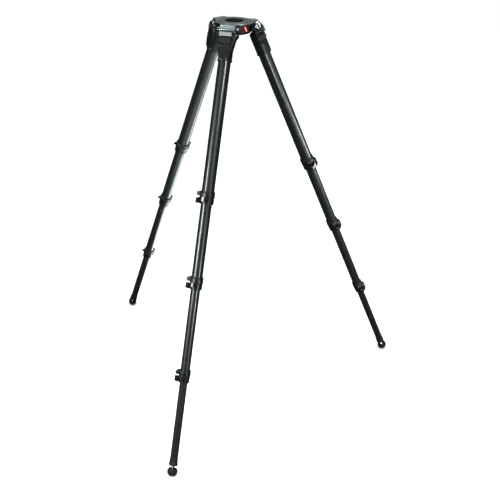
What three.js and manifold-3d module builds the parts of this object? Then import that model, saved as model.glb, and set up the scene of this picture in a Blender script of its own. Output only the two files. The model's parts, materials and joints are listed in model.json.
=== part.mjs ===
// Video tripod: a lobed crown with a half-ball bowl adapter, and three folding legs,
// each of four telescoping tubes held by flip-lever locks, on a rubber ball foot.
// Millimetres, +Z up. The origin is on the floor, at the middle of the footprint's box.
import * as THREE from 'three';
import { mergeVertices } from 'three/addons/utils/BufferGeometryUtils.js';
import Module from 'manifold-3d';

const wasm = await Module();
wasm.setup();

// ---------------------------------------------------------------- driving dimensions
const GAP = 0.3;                              // clearance between pieces that touch
const LEGS = { right: 30, left: 150, front: 270 };   // azimuth of each leg, degrees
const SPLAY = THREE.MathUtils.degToRad(23.72);       // leg angle from the vertical

// Crown, measured from the adapter's top face (z = 0) and the tripod's axis.
const CROWN_TOP = -1.5;
const RIM_RADIUS = 60.5;
const RIM_THICKNESS = 3.5;
const DRUM_RADIUS = 57;
const DRUM_BOTTOM = -36;
const RIM_TIP = 78.5;                         // reach of the flat top over each arm
const ARM_HALF_WIDTH = 25;
const ARM_BOTTOM = -31.5;
const BOWL_RADIUS = 50;                       // 100 mm bowl
const BALL_RADIUS = 30.66;                    // 60 mm half-ball seat in the adapter
const FLANGE_RADIUS = 55;
const FLANGE_THICKNESS = 3;

// Hinge of each leg. The leg's axis runs a little inboard of the pin.
const PIN_REACH = 66;
const PIN_DEPTH = 17.5;
const PIN_RADIUS = 4;
const PIN_TO_LEG_AXIS = 4.5;
const EAR_RADIUS = 11;
const EAR_FACE = 30;                          // outer face of the ears, from the leg's middle
const HIP_HALF_WIDTH = 35.5;                  // the widest part, just below the caps
const SHOULDER_OUTER = 20;
const SHOULDER_LENGTH = 97;
const ARM_BARREL = 16;                        // the arm's end is round about the pin
const ARM_SWEEP = 20.8;                       // radius kept free round the pin, between the ears
const BRIDGE_FACE = 23.9;                     // front of the bridge that joins the ears

// Telescoping stages, as depths along the leg below the pin.
const TUBE_RADII = [20, 17.5, 15, 12.5];
const TUBE_WALL = 1.5;
const TUBE_TOPS = [46, 258, 524, 780];
const LOCK_DEPTHS = [526.5, 801, 1106];
const COLLAR_HALF = 20.5;
const FOOT_DEPTH = 1423.6;                    // centre of the rubber ball
const FOOT_RADIUS = 16.5;
const PLUG_BOTTOM = 18.3;                     // above the ball's centre
const PLUG_LENGTH = 24;

// Facets round each turned piece. Everything that shares a tube's axis has the same count.
const STACK_SIDES = 16;
const BOWL_SIDES = 24;
const SMALL_SIDES = 10;

// ---------------------------------------------------------------- solid helpers
function solid(geometry) {
  const bare = geometry.clone();
  bare.deleteAttribute('normal');
  bare.deleteAttribute('uv');
  const merged = mergeVertices(bare, 1e-4);
  const mesh = new wasm.Mesh({
    numProp: 3,
    vertProperties: new Float32Array(merged.attributes.position.array),
    triVerts: new Uint32Array(merged.index.array),
  });
  mesh.merge();
  return new wasm.Manifold(mesh);
}

function toGeometry(body) {
  const mesh = body.getMesh();
  const geometry = new THREE.BufferGeometry();
  geometry.setAttribute('position', new THREE.BufferAttribute(mesh.vertProperties, 3));
  geometry.setIndex(new THREE.BufferAttribute(mesh.triVerts, 1));
  geometry.computeVertexNormals();
  return geometry;
}

function join(...geometries) {
  return geometries.map(solid).reduce((whole, piece) => whole.add(piece));
}

function cut(body, ...geometries) {
  return geometries.map(solid).reduce((left, piece) => left.subtract(piece), body);
}

function box(minX, maxX, minY, maxY, minZ, maxZ) {
  const geometry = new THREE.BoxGeometry(maxX - minX, maxY - minY, maxZ - minZ);
  return geometry.translate((minX + maxX) / 2, (minY + maxY) / 2, (minZ + maxZ) / 2);
}

// A solid of revolution about Z, from [radius, z] points.
function turned(profile, sides) {
  const points = profile.map(([radius, z]) => new THREE.Vector2(radius, z));
  return new THREE.LatheGeometry(points, sides).rotateX(Math.PI / 2);
}

// The same, for a profile that closes on itself away from the axis.
function turnedRing(profile, sides) {
  return turned([...profile, profile[0]], sides);
}

function rodZ(radius, minZ, maxZ, sides = SMALL_SIDES) {
  return turned([[0, minZ], [radius, minZ], [radius, maxZ], [0, maxZ]], sides);
}

function rodY(radius, minY, maxY, sides = SMALL_SIDES) {
  return rodZ(radius, minY, maxY, sides).rotateX(-Math.PI / 2);
}

function rodX(radius, minX, maxX, sides = SMALL_SIDES) {
  return rodZ(radius, minX, maxX, sides).rotateY(Math.PI / 2);
}

// Points on a circle about (0, centreZ), as a profile, from one height to another.
function arcProfile(radius, centreZ, fromZ, toZ, steps) {
  return Array.from({ length: steps + 1 }, (_, step) => {
    const z = fromZ + (toZ - fromZ) * step / steps;
    return [Math.sqrt(radius ** 2 - (z - centreZ) ** 2), z];
  });
}

// An outline in the X-Z plane, swept from minY to maxY.
function sweptAlongY(shape, minY, maxY, bevel = 0, curveSegments = 3) {
  return new THREE.ExtrudeGeometry(shape, {
    depth: maxY - minY - 2 * bevel,
    bevelEnabled: bevel > 0,
    bevelThickness: bevel,
    bevelSize: bevel,
    bevelOffset: -bevel,
    bevelSegments: 1,
    curveSegments,
  }).rotateX(Math.PI / 2).translate(0, maxY - bevel, 0);
}

function sweptAlongZ(shape, minZ, maxZ, bevel = 0, curveSegments = 4) {
  return new THREE.ExtrudeGeometry(shape, {
    depth: maxZ - minZ - 2 * bevel,
    bevelEnabled: bevel > 0,
    bevelThickness: bevel,
    bevelSize: bevel,
    bevelOffset: -bevel,
    bevelSegments: 1,
    curveSegments,
  }).translate(0, 0, minZ + bevel);
}

// ---------------------------------------------------------------- materials
function finish(color, roughness, metalness) {
  return new THREE.MeshStandardMaterial({ color, roughness, metalness });
}

const castingFinish = () => finish(0x4a4e4d, 0.42, 0.8);
const carbonFinish = () => finish(0x34383a, 0.35, 0.1);
const blackFinish = () => finish(0x151617, 0.4, 0.2);
const leverFinish = () => finish(0x1a1b1d, 0.18, 0.1);
const steelFinish = () => finish(0xd4d6d8, 0.15, 1);
const plateFinish = () => finish(0xb9bcbd, 0.3, 0.9);
const rubberFinish = () => finish(0x121212, 0.85, 0);

function part(name, geometry, material) {
  const mesh = new THREE.Mesh(geometry, material);
  mesh.name = name;
  return mesh;
}

// ---------------------------------------------------------------- crown
// The rim's outline: a disc with three square-ended arms, filleted where they meet.
function rimOutline() {
  const corner = 5;
  const filletReach = 64;
  const filletAngle = THREE.MathUtils.degToRad(35);
  const shape = new THREE.Shape();
  const angles = Object.values(LEGS).map(THREE.MathUtils.degToRad);
  const place = (angle, reach, side) => [
    reach * Math.cos(angle) - side * Math.sin(angle),
    reach * Math.sin(angle) + side * Math.cos(angle),
  ];
  angles.forEach((angle, index) => {
    const at = (reach, side) => place(angle, reach, side);
    const next = angles[(index + 1) % angles.length];
    if (index === 0) {
      shape.moveTo(...at(filletReach, -ARM_HALF_WIDTH));
    }
    shape.lineTo(...at(RIM_TIP - corner, -ARM_HALF_WIDTH));
    shape.quadraticCurveTo(...at(RIM_TIP, -ARM_HALF_WIDTH), ...at(RIM_TIP, corner - ARM_HALF_WIDTH));
    shape.lineTo(...at(RIM_TIP, ARM_HALF_WIDTH - corner));
    shape.quadraticCurveTo(...at(RIM_TIP, ARM_HALF_WIDTH), ...at(RIM_TIP - corner, ARM_HALF_WIDTH));
    shape.lineTo(...at(filletReach, ARM_HALF_WIDTH));
    shape.quadraticCurveTo(...at(RIM_RADIUS - 6, ARM_HALF_WIDTH), ...place(angle + filletAngle, RIM_RADIUS, 0));
    shape.absarc(0, 0, RIM_RADIUS, angle + filletAngle, next - filletAngle + (next < angle ? 2 * Math.PI : 0));
    shape.quadraticCurveTo(...place(next, RIM_RADIUS - 6, -ARM_HALF_WIDTH),
      ...place(next, filletReach, -ARM_HALF_WIDTH));
  });
  return shape;
}

// Side view of an arm, reach against height: flat above, and round about the pin at its end.
function armOutline() {
  const inner = 45;
  const top = CROWN_TOP - 0.5;
  const from = Math.asin((ARM_BOTTOM + PIN_DEPTH) / ARM_BARREL);
  const to = Math.asin((top + PIN_DEPTH) / ARM_BARREL);
  const shape = new THREE.Shape();
  shape.moveTo(inner, top);
  shape.lineTo(inner, ARM_BOTTOM);
  shape.absarc(PIN_REACH, -PIN_DEPTH, ARM_BARREL, from, to, false);
  return shape;
}

// The hollow that takes the adapter: a rebate for its flange, the bowl, and the way out below.
function bowlHollow() {
  const bowlFoot = -26;
  const outletRadius = 43;
  return turned([
    [0, DRUM_BOTTOM - 1], [outletRadius, DRUM_BOTTOM - 1], [outletRadius, bowlFoot],
    ...arcProfile(BOWL_RADIUS, CROWN_TOP, bowlFoot, -FLANGE_THICKNESS - GAP, 2),
    [FLANGE_RADIUS + GAP, -FLANGE_THICKNESS - GAP], [FLANGE_RADIUS + GAP, 1], [0, 1],
  ], BOWL_SIDES);
}

function crownCasting() {
  const drum = turned([
    [0, DRUM_BOTTOM], [51, DRUM_BOTTOM], [DRUM_RADIUS, DRUM_BOTTOM + 5],
    [DRUM_RADIUS, CROWN_TOP - 1], [0, CROWN_TOP - 1],
  ], BOWL_SIDES);
  const rim = sweptAlongZ(rimOutline(), CROWN_TOP - RIM_THICKNESS, CROWN_TOP, 1, 5);
  const turns = Object.values(LEGS).map(THREE.MathUtils.degToRad);
  const arms = turns.map((turn) => sweptAlongY(armOutline(), -ARM_HALF_WIDTH, ARM_HALF_WIDTH, 0, 8)
    .rotateZ(turn));
  const holes = turns.map((turn) => rodY(PIN_RADIUS + GAP, -ARM_HALF_WIDTH - 2, ARM_HALF_WIDTH + 2, STACK_SIDES)
    .translate(PIN_REACH, 0, -PIN_DEPTH).rotateZ(turn));
  return toGeometry(cut(join(drum, rim, ...arms), bowlHollow(), ...holes));
}

// Flange, ball seat and outer skirt in one turned ring, hollow underneath.
function bowlAdapter() {
  const skirtFoot = -25;
  const skirtInner = 41;
  const roof = -6.5;
  const wall = 4.8;
  const outletRadius = 18;
  const seatFoot = -Math.sqrt(BALL_RADIUS ** 2 - outletRadius ** 2);
  const cupFoot = seatFoot - 3;
  return turnedRing([
    ...arcProfile(BALL_RADIUS, 0, 0, seatFoot, 4),
    [outletRadius, cupFoot],
    ...arcProfile(BALL_RADIUS + wall, 0, cupFoot, roof, 2),
    [skirtInner, roof], [skirtInner, skirtFoot],
    ...arcProfile(BOWL_RADIUS - GAP - 0.4, CROWN_TOP, skirtFoot, -FLANGE_THICKNESS, 2),
    [FLANGE_RADIUS, -FLANGE_THICKNESS], [FLANGE_RADIUS, 0],
  ], BOWL_SIDES);
}

function badge() {
  const halfAngle = THREE.MathUtils.degToRad(14);
  const middle = THREE.MathUtils.degToRad(-35);
  const shape = new THREE.Shape();
  shape.absarc(0, 0, DRUM_RADIUS + 1.5, middle - halfAngle, middle + halfAngle, false);
  shape.absarc(0, 0, DRUM_RADIUS + GAP, middle + halfAngle, middle - halfAngle, true);
  return sweptAlongZ(shape, -29, -7, 0, 4);
}

function levelBody() {
  return turned([[0, 0], [6.5, 0], [6.5, 1.8], [5, 2.3], [4.6, 2.3], [4.6, 1], [0, 1]], STACK_SIDES);
}

function levelVial() {
  return turned([[0, 1 + GAP], [4.3, 1 + GAP], [4.3, 2.2], [2.6, 2.9], [0, 3.1]], SMALL_SIDES);
}

function buildCrown() {
  const crown = new THREE.Group();
  crown.add(part('crown_casting', crownCasting(), castingFinish()));
  crown.add(part('bowl_adapter', bowlAdapter(), finish(0x5d6261, 0.35, 0.9)));
  crown.add(part('badge', badge(), finish(0x8c2a28, 0.3, 0.1)));
  const level = new THREE.Group();
  level.position.set(61.8, 15.4, CROWN_TOP + GAP);
  level.add(part('level_body', levelBody(), blackFinish()));
  level.add(part('level_vial', levelVial(), finish(0x9fc4a0, 0.08, 0)));
  crown.add(level);
  return crown;
}

// ---------------------------------------------------------------- name plate
// Hinge frame for this and the next sections: origin on the pin, X outward, Z up the leg.
const PLATE_BACK = 23.2;
const PLATE_THICKNESS = 1.2;
const PLATE_HALF_WIDTH = 20;
const PLATE_LOW = -22.5;
const PLATE_HIGH = -10.5;

function namePlate() {
  return box(PLATE_BACK, PLATE_BACK + PLATE_THICKNESS, -PLATE_HALF_WIDTH, PLATE_HALF_WIDTH, PLATE_LOW, PLATE_HIGH);
}

// ---------------------------------------------------------------- angle latch
const LATCH_FLOOR = 15.6;
const LATCH_HALF_WIDTH = 17;
const LATCH_TOP = -24.5;
const LATCH_FOOT = -44;
const LATCH_TRAVEL = 5;

function angleLatch() {
  const shape = new THREE.Shape();
  shape.moveTo(LATCH_FLOOR + GAP, LATCH_TOP);
  shape.lineTo(LATCH_FLOOR + GAP, LATCH_FOOT);
  shape.lineTo(22, LATCH_FOOT);
  shape.lineTo(22.5, LATCH_FOOT + 4);
  shape.lineTo(20, LATCH_FOOT + 6);
  shape.lineTo(19, LATCH_TOP);
  return sweptAlongY(shape, -LATCH_HALF_WIDTH, LATCH_HALF_WIDTH, 0.6);
}

// ---------------------------------------------------------------- shoulder and hinge
// Front view of the shoulder: ears, hips, then drawn in to a rib down the sleeve.
function shoulderFront() {
  const outline = [
    [EAR_FACE, EAR_RADIUS + 1], [EAR_FACE, -9.5], [HIP_HALF_WIDTH, -13.5], [HIP_HALF_WIDTH, -18],
    [28.5, -30], [26, -46], [22.5, -62], [14, -SHOULDER_LENGTH],
  ];
  const otherSide = outline.map(([y, z]) => [-y, z]).reverse();
  return new THREE.Shape([...outline, ...otherSide].map(([y, z]) => new THREE.Vector2(y, z)));
}

// Side view: the ear round the pin, the latch face, and a straight back inside the sleeve.
function shoulderSide() {
  const back = -10;
  const shape = new THREE.Shape();
  shape.absarc(0, 0, EAR_RADIUS, -0.25, Math.PI, false);
  shape.lineTo(-EAR_RADIUS, -20);
  shape.lineTo(back, -28);
  shape.lineTo(back, -SHOULDER_LENGTH);
  shape.lineTo(SHOULDER_OUTER - 2, -SHOULDER_LENGTH);
  shape.lineTo(SHOULDER_OUTER, -SHOULDER_LENGTH + 12);
  shape.lineTo(SHOULDER_OUTER, -40);
  shape.lineTo(SHOULDER_OUTER - 2, -28);
  return shape;
}

// Level section that rounds the shoulder's corners: a superellipse about the tube's axis.
function shoulderSection() {
  const deep = SHOULDER_OUTER + PIN_TO_LEG_AXIS;
  const wide = 42;
  const power = 2 / 2.5;
  const steps = 28;
  const raise = (value) => Math.sign(value) * Math.abs(value) ** power;
  const points = Array.from({ length: steps }, (_, step) => {
    const angle = (step + 0.5) * 2 * Math.PI / steps;
    return new THREE.Vector2(deep * raise(Math.cos(angle)) - PIN_TO_LEG_AXIS, wide * raise(Math.sin(angle)));
  });
  return new THREE.Shape(points);
}

function shoulderPanel() {
  const shape = new THREE.Shape();
  shape.moveTo(-16.5, -52);
  shape.lineTo(16.5, -52);
  shape.lineTo(11.5, -91);
  shape.lineTo(-11.5, -91);
  return shape;
}

const facingX = (shape, minX, maxX) => sweptAlongZ(shape, minX, maxX)
  .rotateY(Math.PI / 2).rotateX(Math.PI / 2);

function shoulder() {
  const axisX = -PIN_TO_LEG_AXIS;
  const sleeveRadius = TUBE_RADII[0] + 2.8;
  const lipRadius = TUBE_RADII[0] + 3.6;
  const lipTop = -SHOULDER_LENGTH + 5;
  const block = solid(facingX(shoulderFront(), -40, 40))
    .intersect(solid(sweptAlongY(shoulderSide(), -45, 45)))
    .intersect(solid(sweptAlongZ(shoulderSection(), -SHOULDER_LENGTH - 1, EAR_RADIUS + 2)));
  const sleeve = turned([
    [0, -SHOULDER_LENGTH], [lipRadius, -SHOULDER_LENGTH], [lipRadius, lipTop],
    [sleeveRadius, lipTop + 3], [sleeveRadius, -25], [18, -21], [0, -21],
  ], STACK_SIDES).translate(axisX, 0, 0);
  const bridge = box(10, BRIDGE_FACE, -24.5, 24.5, LATCH_TOP + GAP, -6);
  return toGeometry(cut(
    block.add(solid(sleeve)).add(solid(bridge)),
    rodY(ARM_SWEEP, -ARM_HALF_WIDTH - GAP, ARM_HALF_WIDTH + GAP, 24),
    rodY(PIN_RADIUS + GAP, -EAR_FACE - 1, EAR_FACE + 1, STACK_SIDES),
    rodZ(TUBE_RADII[0] + GAP, -SHOULDER_LENGTH - 1, -TUBE_TOPS[0] + GAP, STACK_SIDES).translate(axisX, 0, 0),
    rodZ(TUBE_RADII[1] + 0.8, -TUBE_TOPS[0] - 1, 0, STACK_SIDES).translate(axisX, 0, 0),
    box(LATCH_FLOOR, 30, -LATCH_HALF_WIDTH - GAP, LATCH_HALF_WIDTH + GAP,
      LATCH_FOOT - LATCH_TRAVEL - GAP, LATCH_TOP + GAP),
    box(PLATE_BACK - GAP, 30, -PLATE_HALF_WIDTH - GAP, PLATE_HALF_WIDTH + GAP, PLATE_LOW - GAP, PLATE_HIGH + GAP),
    facingX(shoulderPanel(), 18.8, 30),
  ));
}

// A rod with a tall domed cap on each end.
function hingePin() {
  const face = EAR_FACE + GAP;
  const cap = [
    [PIN_RADIUS, face], [8.5, face], [8.5, face + 2.7], [7.6, face + 5.1], [5.4, face + 6.9], [0, face + 7.7],
  ];
  const otherCap = cap.map(([radius, height]) => [radius, -height]).reverse();
  return turned([...otherCap, ...cap], STACK_SIDES).rotateX(-Math.PI / 2);
}

// ---------------------------------------------------------------- tubes and locks
function tube(stage) {
  const radius = TUBE_RADII[stage];
  const top = -TUBE_TOPS[stage];
  const isLast = stage === TUBE_RADII.length - 1;
  const bottom = isLast ? -FOOT_DEPTH + PLUG_BOTTOM + 6.6 : -LOCK_DEPTHS[stage] + 1.3;
  return turnedRing([
    [radius - TUBE_WALL, bottom], [radius, bottom], [radius, top], [radius - TUBE_WALL, top],
  ], STACK_SIDES);
}

// Lever hinge, beside the tube on the -Y side of the collar.
const leverPinOffset = (stage) => TUBE_RADII[stage + 1] + 14;
const EAR_LEVELS = [[-6.6, -3], [-19.4, -15.8]];   // upper and lower lever ears
const LEVER_PIN_RADIUS = 2;

// Barrel that the pinch bolt runs through, across the split side of the collar.
const BARREL_RADIUS = 7.5;
const BARREL_OFFSET = 7.5;                    // beyond the upper tube's wall
const BARREL_LEVEL = 11;

// Collar of one lock, about its own middle: it grips the upper tube and guides the lower one.
function collar(stage) {
  const upper = TUBE_RADII[stage];
  const lower = TUBE_RADII[stage + 1];
  const wall = 3.7;
  const ledge = 1;
  const chamfer = 1.2;
  const ring = turnedRing([
    [lower + GAP, -COLLAR_HALF], [lower + 4.7, -COLLAR_HALF], [lower + 5.2, -1.5], [upper + wall, 0.5],
    [upper + wall, COLLAR_HALF - chamfer], [upper + wall - chamfer, COLLAR_HALF],
    [upper + GAP, COLLAR_HALF], [upper + GAP, ledge], [lower + GAP, ledge],
  ], STACK_SIDES);
  const barrel = rodX(BARREL_RADIUS, -8.5, 8.5).translate(0, -upper - BARREL_OFFSET, BARREL_LEVEL);
  const pinOffset = leverPinOffset(stage);
  const ear = new THREE.Shape();
  ear.moveTo(6.5, -lower - 2);
  ear.lineTo(-6.5, -lower - 2);
  ear.absarc(0, -pinOffset, 6.5, Math.PI, 2 * Math.PI, false);
  const ears = EAR_LEVELS.map(([low, high]) => sweptAlongZ(ear, low, high, 0, 5));
  const pinHole = rodZ(LEVER_PIN_RADIUS + GAP, -25, -1).translate(0, -pinOffset, 0);
  const grip = rodZ(upper + GAP, ledge, COLLAR_HALF + 2, STACK_SIDES);
  return toGeometry(cut(join(ring, barrel, ...ears), grip, pinHole));
}

// Outline of the lever's handle seen from above: a band whose tip is flared clear of the collar.
const HANDLE_FROM = THREE.MathUtils.degToRad(-66);
const HANDLE_TO = THREE.MathUtils.degToRad(28);

function handleOutline(inner, thickness) {
  const steps = 8;
  const flare = 2.4;
  const edge = (extra) => Array.from({ length: steps + 1 }, (_, step) => {
    const along = step / steps;
    const angle = HANDLE_FROM + (HANDLE_TO - HANDLE_FROM) * along;
    const radius = inner + extra + flare * Math.max(0, 4 * along - 3) ** 2;
    return new THREE.Vector2(radius * Math.cos(angle), radius * Math.sin(angle));
  });
  return new THREE.Shape([...edge(thickness), ...edge(0).reverse()]);
}

// Lift and narrow the handle steadily towards its tip.
function slanted(geometry) {
  const middle = -10.75;
  const lift = 8.5;
  const narrowing = 0.32;
  const position = geometry.attributes.position;
  for (let index = 0; index < position.count; index += 1) {
    const angle = Math.atan2(position.getY(index), position.getX(index));
    const along = (angle - HANDLE_FROM) / (HANDLE_TO - HANDLE_FROM);
    const height = (position.getZ(index) - middle) * (1 - narrowing * along);
    position.setZ(index, middle + lift * along + height);
  }
  return geometry;
}

// Cam hub on its cross pin, with a curved handle that wraps the outward side of the collar.
function lever(stage) {
  const inner = TUBE_RADII[stage] + 6;
  const thickness = 4.6;
  const handle = slanted(sweptAlongZ(handleOutline(inner, thickness), -20, -1.5));
  const pinOffset = leverPinOffset(stage);
  const slotLow = EAR_LEVELS[1][1] + GAP;
  const slotHigh = EAR_LEVELS[0][0] - GAP;
  const hub = rodZ(5.5, slotLow, slotHigh).translate(0, -pinOffset, 0);
  const crossPin = rodZ(LEVER_PIN_RADIUS, -19, -3.4).translate(0, -pinOffset, 0);
  const rootX = (inner + thickness) * Math.cos(HANDLE_FROM);
  const rootY = (inner + thickness) * Math.sin(HANDLE_FROM);
  const neck = new THREE.Shape();
  neck.moveTo(0, -pinOffset - 5);
  neck.lineTo(rootX + 1.5, rootY - 0.5);
  neck.lineTo(rootX + 0.5, rootY + 4.5);
  neck.lineTo(0, -pinOffset + 4.5);
  return toGeometry(join(handle, hub, crossPin, sweptAlongZ(neck, slotLow, slotHigh)));
}

// ---------------------------------------------------------------- foot, about the ball's centre
function endPlug() {
  const top = PLUG_BOTTOM + PLUG_LENGTH;
  const bore = TUBE_RADII[3] + GAP;
  const floor = PLUG_BOTTOM + 6.3;
  return turnedRing([
    [4.2, PLUG_BOTTOM], [9, PLUG_BOTTOM], [14, PLUG_BOTTOM + 2.6], [15, PLUG_BOTTOM + 4.8],
    [14.6, PLUG_BOTTOM + 6.5], [13.6, PLUG_BOTTOM + 12], [13.6, top], [bore, top], [bore, floor], [4.2, floor],
  ], STACK_SIDES);
}

function spike() {
  const radius = 3.9;
  return turned([[0, -13.4], [radius, -6.5], [radius, PLUG_BOTTOM + 12], [0, PLUG_BOTTOM + 12]], SMALL_SIDES);
}

function rubberFoot() {
  const hole = 4.5;
  const topHeight = 9;
  const lowest = -Math.sqrt(FOOT_RADIUS ** 2 - hole ** 2);
  const steps = 5;
  const lowAngle = Math.atan2(lowest, hole);
  const highAngle = Math.asin(topHeight / FOOT_RADIUS);
  const ball = Array.from({ length: steps + 1 }, (_, step) => {
    const angle = lowAngle + (highAngle - lowAngle) * step / steps;
    return [FOOT_RADIUS * Math.cos(angle), FOOT_RADIUS * Math.sin(angle)];
  });
  return turnedRing([...ball, [10, topHeight - 0.5], [6.5, 4.5], [hole, 4]], STACK_SIDES);
}

// ---------------------------------------------------------------- one leg
// Leg frame: origin at the hinge pin, X outward, Y across, -Z down the leg.
function buildLeg(side) {
  const leg = new THREE.Group();
  leg.add(part(`shoulder_${side}`, shoulder(), castingFinish()));
  leg.add(part(`hinge_pin_${side}`, hingePin(), steelFinish()));
  leg.add(part(`name_plate_${side}`, namePlate(), plateFinish()));
  leg.add(part(`angle_latch_${side}`, angleLatch(), blackFinish()));
  const stack = new THREE.Group();
  stack.position.x = -PIN_TO_LEG_AXIS;
  leg.add(stack);
  TUBE_RADII.forEach((_, stage) => {
    stack.add(part(`tube_${stage + 1}_${side}`, tube(stage), carbonFinish()));
  });
  LOCK_DEPTHS.forEach((depth, stage) => {
    const lock = new THREE.Group();
    lock.position.z = -depth;
    lock.add(part(`collar_${stage + 1}_${side}`, collar(stage), blackFinish()));
    lock.add(part(`lever_${stage + 1}_${side}`, lever(stage), leverFinish()));
    stack.add(lock);
  });
  const foot = new THREE.Group();
  foot.position.z = -FOOT_DEPTH;
  foot.add(part(`end_plug_${side}`, endPlug(), blackFinish()));
  foot.add(part(`spike_${side}`, spike(), steelFinish()));
  foot.add(part(`rubber_foot_${side}`, rubberFoot(), rubberFinish()));
  stack.add(foot);
  return leg;
}

// ---------------------------------------------------------------- assembly
const tripod = new THREE.Group();
tripod.add(buildCrown());
for (const [side, degrees] of Object.entries(LEGS)) {
  const spoke = new THREE.Group();
  spoke.rotation.z = THREE.MathUtils.degToRad(degrees);
  const leg = buildLeg(side);
  leg.position.set(PIN_REACH, 0, -PIN_DEPTH);
  leg.rotation.y = -SPLAY;
  spoke.add(leg);
  tripod.add(spoke);
}

// Stand the feet on the floor and centre the footprint on the origin.
tripod.updateMatrixWorld(true);
const extent = new THREE.Box3().setFromObject(tripod, true);
const middle = extent.getCenter(new THREE.Vector3());
tripod.position.set(-middle.x, -middle.y, -extent.min.z);

export default tripod;
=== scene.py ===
"""Looks of a video tripod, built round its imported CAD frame.

Pieces are modelled in millimetres in the frame of what they belong to (the crown, a hinge or
the axis of a leg) and then placed in the row frame, in metres. Each keeps its own millimetre
coordinates in the point attribute "local", which the materials read.
"""

import json
import math

import bmesh
import bpy
from mathutils import Matrix, Vector

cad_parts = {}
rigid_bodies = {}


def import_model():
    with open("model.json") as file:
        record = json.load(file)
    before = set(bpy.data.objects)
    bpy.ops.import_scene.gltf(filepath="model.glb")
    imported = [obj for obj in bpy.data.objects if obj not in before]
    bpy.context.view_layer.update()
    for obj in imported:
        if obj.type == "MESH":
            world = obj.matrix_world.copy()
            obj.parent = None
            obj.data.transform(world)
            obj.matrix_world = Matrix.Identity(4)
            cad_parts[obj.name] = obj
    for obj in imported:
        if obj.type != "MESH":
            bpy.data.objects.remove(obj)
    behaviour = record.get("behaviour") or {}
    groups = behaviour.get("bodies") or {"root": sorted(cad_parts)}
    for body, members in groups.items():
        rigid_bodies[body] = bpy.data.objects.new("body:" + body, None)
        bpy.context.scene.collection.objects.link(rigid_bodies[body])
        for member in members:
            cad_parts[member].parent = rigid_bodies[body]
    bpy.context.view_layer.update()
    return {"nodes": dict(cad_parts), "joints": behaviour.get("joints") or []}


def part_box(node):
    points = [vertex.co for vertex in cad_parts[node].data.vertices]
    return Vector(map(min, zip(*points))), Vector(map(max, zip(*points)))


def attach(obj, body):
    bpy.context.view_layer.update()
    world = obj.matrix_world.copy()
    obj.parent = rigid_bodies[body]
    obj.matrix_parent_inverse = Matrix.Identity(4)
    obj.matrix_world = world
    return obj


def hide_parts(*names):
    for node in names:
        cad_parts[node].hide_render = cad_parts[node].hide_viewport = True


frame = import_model()

MM = 0.001
SIDES = ("right", "left", "front")

# Driving dimensions, in millimetres. Places come from the frame's joints and boxes.
TUBE_RADII = (20.0, 17.5, 15.0, 12.5)
TUBE_WALL = 1.5
PIN_TO_LEG_AXIS = 4.5
COLLAR_HALF = 20.5
COLLAR_WALL = 3.7
FOOT_RADIUS = 16.5
BALL_RADIUS = 30.66
# Air between a bore and what runs in it, or between a recess and what sits in it.
CLEARANCE = 0.3
ROUND = 96


# ------------------------------------------------------------------ where things are
def joint(name):
    return next(j for j in frame["joints"] if j["name"] == name)


def crown_matrix():
    """The tripod's axis, with the adapter's top face at z = 0."""
    low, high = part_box("bowl_adapter")
    middle = (low + high) / 2
    return Matrix.Translation((middle.x, middle.y, high.z)) @ Matrix.Scale(MM, 4)


def leg_matrix(side):
    """Origin at the hinge pin, X outward, Y across, -Z down the leg."""
    spread = joint(f"leg_spread_{side}")
    up = -Vector(joint(f"tube_2_slide_{side}")["axis"]).normalized()
    across = -Vector(spread["axis"]).normalized()
    outward = across.cross(up)
    matrix = Matrix((outward, across, up)).transposed().to_4x4()
    matrix.translation = Vector(spread["pos_m"])
    return matrix @ Matrix.Scale(MM, 4)


def span_along(node, matrix):
    """Lowest and highest reach of a CAD node along the matrix's Z, in millimetres."""
    inverse = matrix.inverted()
    heights = [(inverse @ v.co).z for v in frame["nodes"][node].data.vertices]
    return min(heights), max(heights)


# ------------------------------------------------------------------ outlines
NEARLY_STRAIGHT = math.radians(87)


def fillet(points, radius, steps=4):
    """The outline with its corners rounded. A point may carry its own radius as a third value."""
    count = len(points)
    rounded = []
    for i, point in enumerate(points):
        here = Vector(point[:2])
        reach = point[2] if len(point) > 2 else radius
        before = Vector(points[i - 1][:2]) - here
        after = Vector(points[(i + 1) % count][:2]) - here
        if reach <= 0 or before.length < 1e-6 or after.length < 1e-6:
            rounded.append(here)
            continue
        half = before.angle(after, math.pi) / 2
        if half > NEARLY_STRAIGHT:
            rounded.append(here)
            continue
        setback = min(reach / math.tan(half), 0.48 * before.length, 0.48 * after.length)
        start = here + before.normalized() * setback
        end = here + after.normalized() * setback
        for step in range(steps + 1):
            t = step / steps
            rounded.append(start * (1 - t) ** 2 + here * (2 * t * (1 - t)) + end * t ** 2)
    return rounded


def arc(radius, start, end, steps, centre=(0.0, 0.0)):
    """Points on a circle, angles in degrees."""
    turns = [math.radians(start + (end - start) * i / steps) for i in range(steps + 1)]
    return [(centre[0] + radius * math.cos(a), centre[1] + radius * math.sin(a)) for a in turns]


# ------------------------------------------------------------------ solids
def to_object(mesh_data):
    bmesh.ops.recalc_face_normals(mesh_data, faces=mesh_data.faces)
    mesh = bpy.data.meshes.new("draft")
    mesh_data.to_mesh(mesh)
    mesh_data.free()
    obj = bpy.data.objects.new("draft", mesh)
    bpy.context.scene.collection.objects.link(obj)
    return obj


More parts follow.
